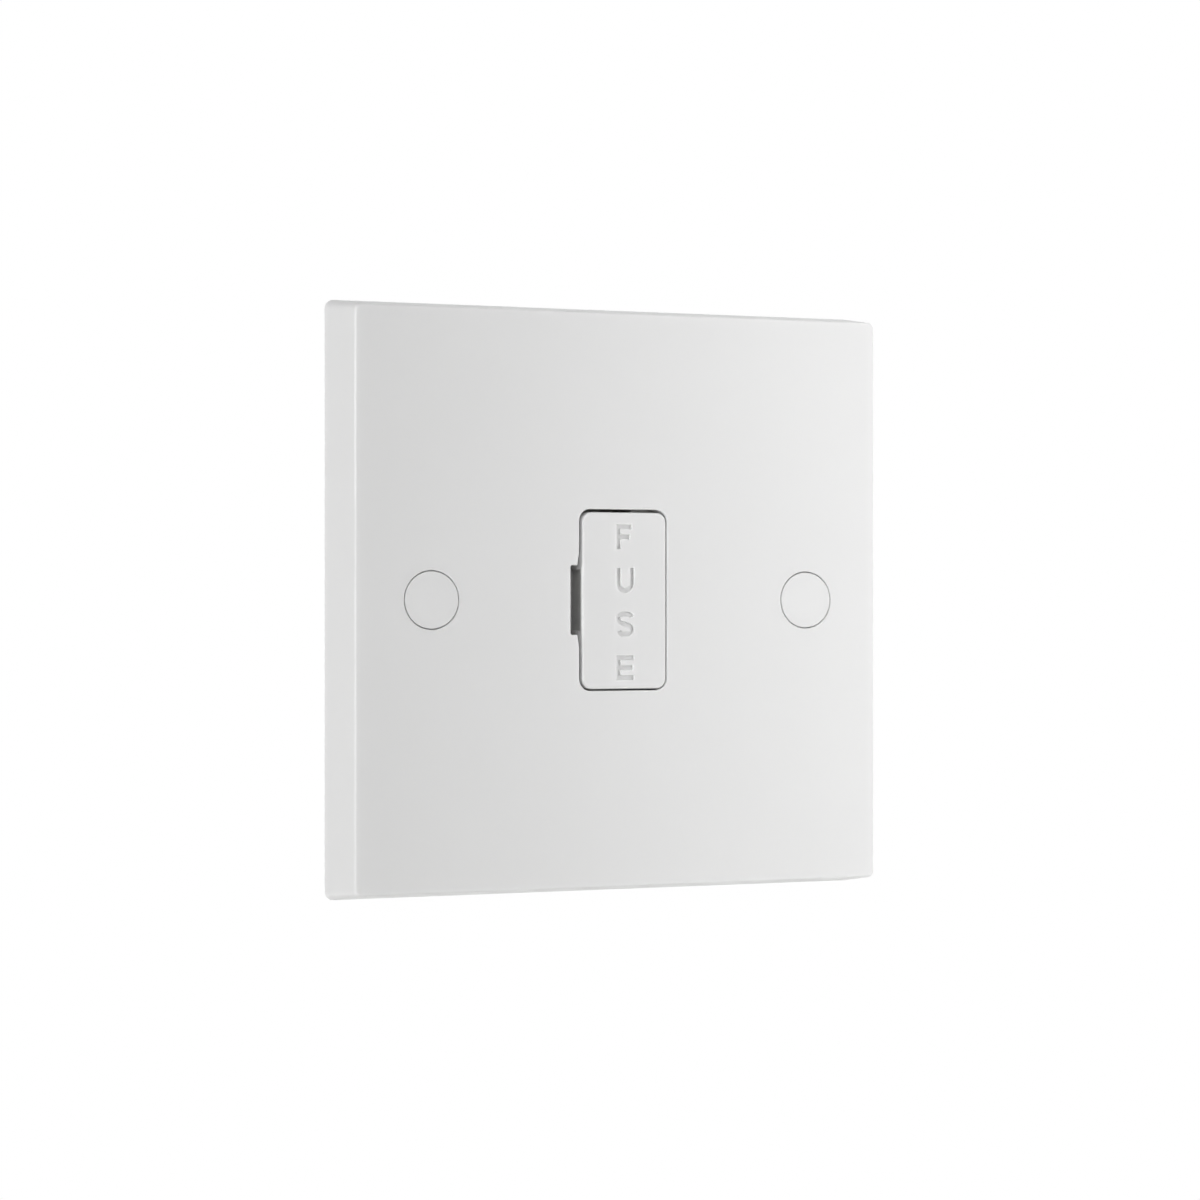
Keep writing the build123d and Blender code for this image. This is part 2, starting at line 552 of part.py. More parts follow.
def make_rear_base():
    outline = RectangleRounded(BASE_WIDTH, 2 * BASE_HALF_HEIGHT, BASE_CORNER)
    base = prism(outline, PANEL_BACK, BANK_BACK)
    side = BASE_WIDTH / 2
    base -= bar(-side, side, MIDDLE_BACK, BANK_BACK, -BANK_INNER, BANK_INNER)
    banks = base.faces().filter_by(Axis.Y).sort_by(Axis.Y)[-len(ROWS):]
    base = fillet([edge for bank in banks for edge in bank.outer_wire().edges()], BASE_EDGE)

    well = Rectangle(2 * WELL_HALF_WIDTH, 2 * WELL_HALF_HEIGHT)
    base -= prism(well, PANEL_BACK, WELL_FLOOR)
    rest = TAIL_WIDTH / 2
    for row in ROWS.values():
        low = row * CLIP_Z - CLIP_WIDTH / 2
        base += bar(-rest, rest, TAIL_BACK, WELL_FLOOR, low, low + CLIP_WIDTH)
        bridge = row * GUIDE_Z, row * WELL_HALF_HEIGHT
        base += bar(-WELL_HALF_WIDTH, WELL_HALF_WIDTH, BRIDGE_BACK - BRIDGE, BRIDGE_BACK, *bridge)
    base += bar(GUIDE_LEFT, WELL_HALF_WIDTH, PANEL_BACK, BRIDGE_BACK, GUIDE_Z, WELL_HALF_HEIGHT)

    for column, x in COLUMNS.items():
        channel = strip_width(column) / 2 + POCKET_GAP
        for row in ROWS.values():
            inner, mouth = row * POCKET_INNER, row * BASE_HALF_HEIGHT
            base -= bar(x - POCKET_HALF, x + POCKET_HALF, PANEL_BACK, BLOCK_BACK, inner, mouth)
            base -= pin(ACCESS_HOLE, x, row * ROW_Z, BLOCK_BACK, BANK_BACK)
            start = row * WELL_HALF_HEIGHT if column == "live" else 0
            front = BRIDGE_BACK if column == "live" else PANEL_BACK
            base -= bar(x - channel, x + channel, front, TAIL_BACK, start, inner)

    for side in SIDES.values():
        for level in LEVELS.values():
            x, z = side * BOSS_X, level * ROW_Z
            base -= pin(HOUSING_SCREW + 2 * HOUSING_SCREW_ROOM, x, z, PANEL_BACK, BANK_BACK)
            base -= pin(BOSS_HOLE, x, z, PANEL_BACK, BOSS_BACK + BOSS_GAP)
            base -= pin(HOUSING_HEAD + 2 * HOUSING_HEAD_GAP, x, z, HOUSING_SEAT, BANK_BACK)

    marks = {"earth": earth_mark, "live": letter_l, "neutral": letter_n}
    for column, x in COLUMNS.items():
        mark = marks[column](MARK_WIDTHS[column], MARK_HEIGHT, MARK_STROKE)
        for row in ROWS.values():
            place = Plane(origin=(x, BANK_BACK, row * MARK_Z), x_dir=(-1, 0, 0), z_dir=(0, 1, 0))
            base += extrude(place * mark, amount=MARK_RAISE)
    return base


parts = {
    "front_plate": make_front_plate(),
    "rear_base": make_rear_base(),
    "fuse_carrier": make_fuse_carrier(),
    "fuse_barrel": make_fuse_barrel(),
    "neutral_link": make_link("neutral"),
    "earth_link": make_link("earth"),
}
for side_name, side_sign in SIDES.items():
    parts[f"screw_cap_{side_name}"] = make_screw_cap(side_sign)
for level_name, level_sign in LEVELS.items():
    parts[f"fuse_cap_{level_name}"] = make_fuse_cap(level_sign)
    for side_name, side_sign in SIDES.items():
        screw = make_housing_screw(side_sign, level_sign)
        parts[f"housing_screw_{level_name}_{side_name}"] = screw
for row_name, row_sign in ROWS.items():
    parts[f"fuse_clip_{row_name}"] = make_fuse_clip(row_sign)
    for column_name in COLUMNS:
        parts[f"{row_name}_{column_name}_terminal"] = make_terminal(column_name, row_sign)
        parts[f"{row_name}_{column_name}_screw"] = make_terminal_screw(column_name, row_sign)

os.makedirs("parts", exist_ok=True)
for name, solid in parts.items():
    export_step(solid, f"parts/{name}.step")
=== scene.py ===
import json
import math

import bmesh
import bpy
from bpy.props import FloatProperty, FloatVectorProperty, IntProperty, PointerProperty
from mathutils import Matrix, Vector

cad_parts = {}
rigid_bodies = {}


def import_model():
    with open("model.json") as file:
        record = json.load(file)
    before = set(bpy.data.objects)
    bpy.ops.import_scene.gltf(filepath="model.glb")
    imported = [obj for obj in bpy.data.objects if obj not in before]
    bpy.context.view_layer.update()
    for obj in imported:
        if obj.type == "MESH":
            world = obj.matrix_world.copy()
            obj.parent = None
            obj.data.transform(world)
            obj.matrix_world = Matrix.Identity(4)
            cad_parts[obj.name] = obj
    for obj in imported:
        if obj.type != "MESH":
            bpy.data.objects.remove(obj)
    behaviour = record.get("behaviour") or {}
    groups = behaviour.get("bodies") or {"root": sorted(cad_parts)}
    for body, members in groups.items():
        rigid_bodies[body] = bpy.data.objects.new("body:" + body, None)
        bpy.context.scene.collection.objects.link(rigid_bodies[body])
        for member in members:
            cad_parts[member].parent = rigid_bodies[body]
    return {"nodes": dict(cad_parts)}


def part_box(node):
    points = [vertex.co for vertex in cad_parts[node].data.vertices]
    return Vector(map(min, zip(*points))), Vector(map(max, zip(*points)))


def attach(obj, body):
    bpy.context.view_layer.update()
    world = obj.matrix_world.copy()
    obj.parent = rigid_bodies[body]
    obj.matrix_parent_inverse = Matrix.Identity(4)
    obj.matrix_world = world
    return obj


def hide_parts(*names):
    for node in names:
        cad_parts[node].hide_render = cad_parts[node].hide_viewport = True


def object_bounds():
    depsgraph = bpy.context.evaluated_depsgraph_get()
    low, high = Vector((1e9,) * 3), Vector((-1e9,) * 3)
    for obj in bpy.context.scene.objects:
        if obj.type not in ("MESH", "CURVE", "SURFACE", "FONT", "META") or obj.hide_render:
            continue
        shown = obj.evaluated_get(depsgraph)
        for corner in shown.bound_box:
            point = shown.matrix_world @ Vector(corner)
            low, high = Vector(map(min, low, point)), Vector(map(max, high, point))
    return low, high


for left_over in list(bpy.data.objects):
    bpy.data.objects.remove(left_over)
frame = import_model()
cad_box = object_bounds()

bl_info = {
    "name": "Fused spur unit",
    "version": (1, 0, 0),
    "blender": (4, 5, 0),
    "location": "3D View > Sidebar > Spur unit",
    "description": "Dresses the mouldings, metalwork and fuse of a spur unit and sets its studio",
    "category": "Object",
}

MM = 0.001

MOULDINGS = ("front_plate", "fuse_carrier", "screw_cap_left", "screw_cap_right")
LINKS = ("earth_link", "neutral_link")
CLIPS = ("fuse_clip_supply", "fuse_clip_load")
FUSE_CAPS = ("fuse_cap_upper", "fuse_cap_lower")
TERMINALS = [f"{row}_{column}" for row in ("supply", "load") for column in ("earth", "live", "neutral")]
HOUSING_SCREWS = [
    f"housing_screw_{level}_{side}" for level in ("upper", "lower") for side in ("left", "right")
]

SCREW_SIDES = 40
RINGS_IN_A_TURN = 8
RINGS_IN_A_RIM = 5
CREASE_ANGLE = math.radians(35)
# Takes the cutter of a drive just past the top of the head
DRIVE_STRETCH = 1.001
# Decimal places of a metre to which the screws of a row agree
ROW_PLACES = 6

SENSOR_WIDTH = 36.0
FLOOR_RADIUS = 0.6
FLOOR_SIDES = 96
# Distances from the floor's middle between which it fades, and the share of white at its middle
FADE_FROM, FADE_TO = 0.12, 0.45
FADE_LEAST = 0.4
WHITE = (1.0, 1.0, 1.0, 1.0)

# Each lamp's place, width and height, and whether the gloss shows an image of it
LAMPS = {
    "key": ((0.095, -0.125, 0.02), 0.06, 0.38, False),
    "fill": ((-0.50, -1.00, 0.30), 0.60, 0.60, True),
    "side": ((-0.50, -0.13, 0.04), 0.12, 0.22, True),
    "top": ((0.26, -0.02, 0.40), 0.06, 0.30, True),
    "back": ((0.10, 0.60, 0.05), 0.20, 0.20, False),
}

# Numbers of the colour sockets on a Mix node
FIRST, SECOND, MIXED = 6, 7, 2
# Most values of a noise lie between these
NOISE_LOW, NOISE_HIGH = 0.3, 0.7
# How far the roughness of a moulding strays to each side
MOULD_SPREAD = 0.03
# Share of its brightness that stained brass keeps
BRASS_STAIN = 0.8

# Sizes in the finishes, in millimetres. The grain of an eroded mould and of ceramic, the lines of a
# die and of a press and the rings of a lathe are finer on real pieces, and are drawn coarser to show.
FLOW_MARK = 22.0
POLISH_WAVE, POLISH_RELIEF = 6.0, 0.0
ERODED_GRAIN, ERODED_RELIEF = 0.35, 0.012
BRASS_DIE_LINE, BRONZE_DIE_LINE = 0.14, 0.1
DIE_LINE_LENGTH, DIE_LINE_RELIEF = 9.0, 0.012
TARNISH_PATCH = 3.5
BRASS_LATHE_RING, STEEL_LATHE_RING = 0.16, 0.22
LATHE_RING_RELIEF = 0.004
PLATING_PATCH = 2.4
PRESS_LINE, PRESS_LINE_LENGTH = 0.25, 6.0
SPECKLE, SPECKLE_RELIEF = 0.4, 0.008
INK_BLEED = 0.25


def linear(code):
    """Linear RGB of an sRGB hex colour."""
    shares = [int(code[at:at + 2], 16) / 255 for at in (1, 3, 5)]
    return tuple(s / 12.92 if s <= 0.04045 else ((s + 0.055) / 1.055) ** 2.4 for s in shares)


def length(name, description, millimetres):
    """Property for a length, which Blender shows in the scene's unit."""
    return FloatProperty(
        name=name, description=description, default=millimetres * MM, unit="LENGTH", precision=5
    )


def colour(name, description, code):
    """Property for a colour, written as an sRGB hex value."""
    return FloatVectorProperty(
        name=name, description=description, default=linear(code), subtype="COLOR", min=0.0, max=1.0
    )


def share(name, description, default):
    """Property for a number between none and all."""
    return FloatProperty(
        name=name, description=description, default=default, min=0.0, max=1.0, subtype="FACTOR"
    )


def power(name, description, watts):
    """Property for the power of a lamp."""
    return FloatProperty(name=name, description=description, default=watts, min=0.0, unit="POWER")


class SpurMouldings(bpy.types.PropertyGroup):
    """Colours and gloss of the moulded pieces."""

    plate: colour("Plate", "White of the plate, the carrier and the covers", "#E6E6E6")
    plate_roughness: share("Plate roughness", "Gloss left by the polished mould", 0.34)
    base: colour("Rear base", "White of the housing behind the plate", "#DEDDD8")
    base_roughness: share("Rear base roughness", "Gloss left by the spark-eroded mould", 0.52)
    glow: length("Glow", "How far light wanders inside the moulding", 0.8)


class SpurMetal(bpy.types.PropertyGroup):
    """Colours of the metal pieces."""

    brass: colour("Drawn brass", "Blocks and links, cut from bar", "#D2AE68")
    screw_brass: colour("Turned brass", "Terminal screws", "#DDBB74")
    bronze: colour("Spring bronze", "Clips of the fuse", "#CB9A62")
    zinc: colour("Zinc plate", "Housing screws", "#BEC2C6")
    passivation: colour("Passivation", "Straw tint in the zinc plate", "#C9C2A6")


class SpurFuse(bpy.types.PropertyGroup):
    """Colours of the cartridge fuse."""

    barrel: colour("Barrel", "Steatite ceramic", "#E9E3D5")
    band: colour("Band", "Ink of the band round the barrel", "#7A4A2E")
    band_width: length("Band width", "Width of the band along the barrel", 2.6)
    cap: colour("Caps", "Nickel-plated end caps", "#CBC6BC")


class ScrewSizes:
    """Sizes that every kind of screw has, with those of a slotted terminal screw."""

    shank: length("Shank", "Diameter over the thread", 3.9)
    pitch: length("Pitch", "Advance of the thread in one turn", 0.7)
    depth: length("Thread depth", "Crest to root of the thread", 0.4)
    tip: length("Tip", "Chamfer at the end of the shank", 0.4)
    head_height: length("Head height", "Seat to top of the head", 2.2)
    rim: length("Rim", "Radius of the head's rim", 0.5)
    drive_length: length("Drive length", "Length of a slot of the drive", 7.0)
    drive_width: length("Drive width", "Width of a slot of the drive", 0.9)
    drive_depth: length("Drive depth", "Depth of the drive", 1.1)
    drive_floor: share("Drive floor", "Size of the drive's floor against its mouth", 1.0)
    wings: IntProperty(
        name="Wings", description="Slots that cross in the drive", default=1, min=1, max=2
    )
    seed: IntProperty(name="Seed", description="Settles how far each screw is turned", default=3)


class SpurTerminalScrew(ScrewSizes, bpy.types.PropertyGroup):
    """Sizes of the slotted terminal screws."""


class SpurHousingScrew(ScrewSizes, bpy.types.PropertyGroup):
    """Sizes of the cross-recessed housing screws."""

    shank: length("Shank", "Diameter over the thread", 2.9)
    pitch: length("Pitch", "Advance of the thread in one turn", 1.1)
    depth: length("Thread depth", "Crest to root of the thread", 0.45)
    tip: length("Tip", "Chamfer at the end of the shank", 0.5)
    head_height: length("Head height", "Seat to top of the head", 2.0)
    rim: length("Rim", "Radius of the head's rim", 0.8)
    drive_length: length("Drive length", "Length of a slot of the drive", 3.4)
    drive_width: length("Drive width", "Width of a slot of the drive", 0.85)
    drive_depth: length("Drive depth", "Depth of the drive", 1.3)
    drive_floor: share("Drive floor", "Size of the drive's floor against its mouth", 0.5)
    wings: IntProperty(
        name="Wings", description="Slots that cross in the drive", default=2, min=1, max=2
    )


class SpurStudio(bpy.types.PropertyGroup):
    """Camera, lamps and floor."""

    lens: FloatProperty(
        name="Lens", description="Focal length on a 36 mm sensor", default=103.55, unit="CAMERA"
    )
    turn: FloatProperty(
        name="Turn", description="Angle of the view from the plate's left",
        default=math.radians(24.885), subtype="ANGLE"
    )
    distance: length("Distance", "Camera to the plate's front face", 503.76)
    aside: length("Aside", "Plate's centre to the right of the lens axis", 3.428)
    floor_drop: length("Floor drop", "Middle of the plate to the floor", 190.0)
    floor: colour("Floor", "Pale paper under the plate", "#F2F2F0")
    ambient: FloatProperty(
        name="Ambient", description="Strength of the light from all round", default=0.165, min=0.0
    )
    key: power("Key", "Tall strip lamp at the right, close to the plate", 0.257)
    fill: power("Fill", "Soft lamp beside the camera", 1.6)
    side: power("Side", "Strip lamp at the left, level with the plate", 1.24)
    top: power("Top", "Strip lamp overhead, which draws the upper edge", 0.3)
    back: power("Back", "Soft lamp straight behind", 1.8)


class SpurUnit(bpy.types.PropertyGroup):
    """All the settings of the unit."""

    mouldings: PointerProperty(type=SpurMouldings)
    metal: PointerProperty(type=SpurMetal)
    fuse: PointerProperty(type=SpurFuse)
    terminal_screw: PointerProperty(type=SpurTerminalScrew)
    housing_screw: PointerProperty(type=SpurHousingScrew)
    studio: PointerProperty(type=SpurStudio)


def add(tree, kind, inputs=None, **settings):
    """Adds a node with its settings, and sets or links its inputs by name or number."""
    made = tree.nodes.new(kind)
    for name, value in settings.items():
        setattr(made, name, value)
    for key, value in (inputs or {}).items():
        if isinstance(value, bpy.types.NodeSocket):
            tree.links.new(value, made.inputs[key])
        else:
            made.inputs[key].default_value = value
    return made


def per(millimetres):
    """Scale of a pattern on Object coordinates whose features are this large."""
    return 1 / (millimetres * MM)


def shaded(tint, amount):
    """A colour with its strength changed, as a socket takes it."""
    return (*[part * amount for part in tint], 1)


def surface(name, sockets):
    """New material with these sockets of its shader set, its tree, shader and Object coordinates."""
    material = bpy.data.materials.new(name)
    material.use_nodes = True
    tree = material.node_tree
    shader = tree.nodes["Principled BSDF"]
    for key, value in sockets.items():
        shader.inputs[key].default_value = value
    return material, tree, shader, add(tree, "ShaderNodeTexCoord").outputs["Object"]


def link_finish(tree, shader, tint, gloss, relief=None):
    """Links a finish's colour, roughness and relief to its shader."""
    tree.links.new(tint.outputs[MIXED], shader.inputs["Base Color"])
    tree.links.new(gloss.outputs["Result"], shader.inputs["Roughness"])
    if relief:
        tree.links.new(relief.outputs["Normal"], shader.inputs["Normal"])


def moulded_urea(name, tint, roughness, glow, grain, relief):
    """Urea moulding: neutral white that light wanders into a little, so edges and letters stay soft."""
    material, tree, shader, place = surface(
        name,
        {"IOR": 1.54, "Subsurface Weight": 1.0, "Subsurface Radius": (1.0, 1.0, 1.0),
         "Subsurface Scale": glow}
    )
    flow = add(tree, "ShaderNodeTexNoise", {"Vector": place, "Scale": per(FLOW_MARK), "Detail": 3.0})
    clouds = add(
        tree, "ShaderNodeMix",
        {0: flow.outputs["Fac"], FIRST: shaded(tint, 1.01), SECOND: shaded(tint, 0.99)},
        data_type="RGBA"
    )
    peel = add(tree, "ShaderNodeTexNoise", {"Vector": place, "Scale": per(grain), "Detail": 2.0})
    gloss = add(
        tree, "ShaderNodeMapRange",
        {"Value": peel.outputs["Fac"], "From Min": NOISE_LOW, "From Max": NOISE_HIGH,
         "To Min": roughness - MOULD_SPREAD, "To Max": roughness + MOULD_SPREAD}
    )
    bump = None
    if relief:
        bump = add(
            tree, "ShaderNodeBump",
            {"Height": peel.outputs["Fac"], "Strength": 1.0, "Distance": relief * MM}
        )
    link_finish(tree, shader, clouds, gloss, bump)
    return material


def drawn_metal(name, tint, streak, along):
    """Bar or strip pulled through a die: bright, with fine lines along it and a thin dull tarnish."""
    material, tree, shader, place = surface(name, {"Metallic": 1.0})
    lines = add(
        tree, "ShaderNodeMapping",
        {"Vector": place,
         "Scale": [per(DIE_LINE_LENGTH) if axis == along else per(streak) for axis in "xyz"]}
    )
    scratches = add(
        tree, "ShaderNodeTexNoise", {"Vector": lines.outputs["Vector"], "Scale": 1.0, "Detail": 3.0}
    )
    tarnish = add(
        tree, "ShaderNodeTexNoise", {"Vector": place, "Scale": per(TARNISH_PATCH), "Detail": 4.0}
    )
    patina = add(
        tree, "ShaderNodeMix",
        {0: tarnish.outputs["Fac"], FIRST: shaded(tint, 1.06), SECOND: shaded(tint, 0.82)},
        data_type="RGBA"
    )
    gloss = add(
        tree, "ShaderNodeMapRange",
        {"Value": scratches.outputs["Fac"], "From Min": NOISE_LOW, "From Max": NOISE_HIGH,
         "To Min": 0.24, "To Max": 0.42}
    )
    bump = add(
        tree, "ShaderNodeBump",
        {"Height": scratches.outputs["Fac"], "Strength": 0.6, "Distance": DIE_LINE_RELIEF * MM}
    )
    link_finish(tree, shader, patina, gloss, bump)
    return material


def turned_metal(name, tint, stain, ring):
    """Screw from a lathe: bright, stained in patches, with tool rings round the axis of its stored place."""
    material, tree, shader, place = surface(name, {"Metallic": 1.0})
    own = add(tree, "ShaderNodeAttribute", attribute_name="screw_place")
    axis_free = add(
        tree, "ShaderNodeVectorMath",
        {0: own.outputs["Vector"], 1: (1.0, 1.0, 0.0)}, operation="MULTIPLY"
    )
    radius = add(tree, "ShaderNodeVectorMath", {0: axis_free.outputs["Vector"]}, operation="LENGTH")
    turns = add(
        tree, "ShaderNodeMath",
        {0: radius.outputs["Value"], 1: 2 * math.pi * per(ring)}, operation="MULTIPLY"
    )
    rings = add(tree, "ShaderNodeMath", {0: turns.outputs["Value"]}, operation="SINE")
    patch = add(
        tree, "ShaderNodeTexNoise", {"Vector": place, "Scale": per(PLATING_PATCH), "Detail": 3.0}
    )
    plating = add(
        tree, "ShaderNodeMix",
        {0: patch.outputs["Fac"], FIRST: (*tint, 1), SECOND: (*stain, 1)}, data_type="RGBA"
    )
    gloss = add(
        tree, "ShaderNodeMapRange",
        {"Value": rings.outputs["Value"], "From Min": -1.0, "From Max": 1.0,
         "To Min": 0.24, "To Max": 0.36}
    )
    bump = add(
        tree, "ShaderNodeBump",
        {"Height": rings.outputs["Value"], "Strength": 0.5, "Distance": LATHE_RING_RELIEF * MM}
    )
    link_finish(tree, shader, plating, gloss, bump)
    return material


def nickel_plate(name, tint):
    """Pressed cap with a nickel finish: bright and slightly warm, with faint lines round it."""
    material, tree, shader, place = surface(name, {"Metallic": 1.0})
    squeezed = add(
        tree, "ShaderNodeMapping",
        {"Vector": place, "Scale": (per(PRESS_LINE_LENGTH), per(PRESS_LINE_LENGTH), per(PRESS_LINE))}
    )
    lines = add(
        tree, "ShaderNodeTexNoise", {"Vector": squeezed.outputs["Vector"], "Scale": 1.0, "Detail": 2.0}
    )
    film = add(
        tree, "ShaderNodeMix",
        {0: lines.outputs["Fac"], FIRST: shaded(tint, 1.05), SECOND: shaded(tint, 0.93)},
        data_type="RGBA"
    )
    gloss = add(
        tree, "ShaderNodeMapRange",
        {"Value": lines.outputs["Fac"], "From Min": NOISE_LOW, "From Max": NOISE_HIGH,
         "To Min": 0.16, "To Max": 0.28}
    )
    link_finish(tree, shader, film, gloss)
    return material


def steatite(name, tint, ink, band_width):
    """Unglazed ceramic tube: matt cream with a fine speckle, and one printed band round its middle."""
    material, tree, shader, place = surface(name, {"IOR": 1.58})
    speckle = add(tree, "ShaderNodeTexNoise", {"Vector": place, "Scale": per(SPECKLE), "Detail": 3.0})
    body = add(
        tree, "ShaderNodeMix",
        {0: speckle.outputs["Fac"], FIRST: shaded(tint, 1.02), SECOND: shaded(tint, 0.92)},
        data_type="RGBA"
    )
    height = add(tree, "ShaderNodeSeparateXYZ", {"Vector": place})
    bleed = add(
        tree, "ShaderNodeMath", {0: speckle.outputs["Fac"], 1: INK_BLEED * MM, 2: height.outputs["Z"]},
        operation="MULTIPLY_ADD"
    )
    band = add(
        tree, "ShaderNodeMath",
        {0: bleed.outputs["Value"], 1: 0.0, 2: band_width / 2}, operation="COMPARE"
    )
    printed = add(
        tree, "ShaderNodeMix",
        {0: band.outputs["Value"], FIRST: body.outputs[MIXED], SECOND: (*ink, 1)}, data_type="RGBA"
    )
    gloss = add(
        tree, "ShaderNodeMapRange",
        {"Value": speckle.outputs["Fac"], "From Min": NOISE_LOW, "From Max": NOISE_HIGH,
         "To Min": 0.5, "To Max": 0.66}
    )
    bump = add(
        tree, "ShaderNodeBump",
        {"Height": speckle.outputs["Fac"], "Strength": 1.0, "Distance": SPECKLE_RELIEF * MM}
    )
    link_finish(tree, shader, printed, gloss, bump)
    return material


def dress(names, material):
    """Gives CAD pieces their finish."""
    for name in names:
        frame["nodes"][name].material_slots[0].material = material


def new_object(name, mesh):
    """Object at the origin, in the scene."""
    made = bpy.data.objects.new(name, mesh)
    bpy.context.scene.collection.objects.link(made)
    return made


def screw_rings(sizes, shank_length, head_radius):
    """Rings of a screw from its tip to its crown, as radius, height and share of the thread's depth."""
    crest = sizes.shank / 2
    rings = [(crest - sizes.tip, -shank_length, 0.0)]
    steps = math.ceil((shank_length - sizes.tip) / sizes.pitch * RINGS_IN_A_TURN)
    for step in range(steps + 1):
        height = (shank_length - sizes.tip) * (step / steps - 1)
        run_in = min(1.0, step / RINGS_IN_A_TURN, (steps - step) / RINGS_IN_A_TURN)
        rings.append((crest, height, run_in))
    rings.append((head_radius, 0.0, 0.0))
    for step in range(RINGS_IN_A_RIM + 1):
        angle = step / RINGS_IN_A_RIM * math.pi / 2
        inward = sizes.rim * (1 - math.cos(angle))
        height = sizes.head_height - sizes.rim * (1 - math.sin(angle))
        rings.append((head_radius - inward, height, 0.0))
    # A small ring closes the crown
    rings.append((crest / 4, sizes.head_height, 0.0))
    return rings


def screw_mesh(name, sizes, shank_length, head_radius):
    """One screw on the Z axis, its seat at zero: the thread is a groove that climbs as it goes round."""
    solid = bmesh.new()
    loops = []
    for radius, height, thread in screw_rings(sizes, shank_length, head_radius):
        loop = []
        for side in range(SCREW_SIDES):
            turn = side / SCREW_SIDES
            groove = 1 - abs(2 * ((height / sizes.pitch - turn) % 1) - 1)
            reach = radius - thread * sizes.depth * groove
            angle = 2 * math.pi * turn
            loop.append(solid.verts.new((reach * math.cos(angle), reach * math.sin(angle), height)))
        loops.append(loop)
    for lower, upper in zip(loops, loops[1:]):
        for side in range(SCREW_SIDES):
            after = (side + 1) % SCREW_SIDES
            solid.faces.new((lower[side], lower[after], upper[after], upper[side]))
    solid.faces.new(loops[0][::-1])
    solid.faces.new(loops[-1])
    mesh = bpy.data.meshes.new(name)
    solid.to_mesh(mesh)
    solid.free()
    return mesh


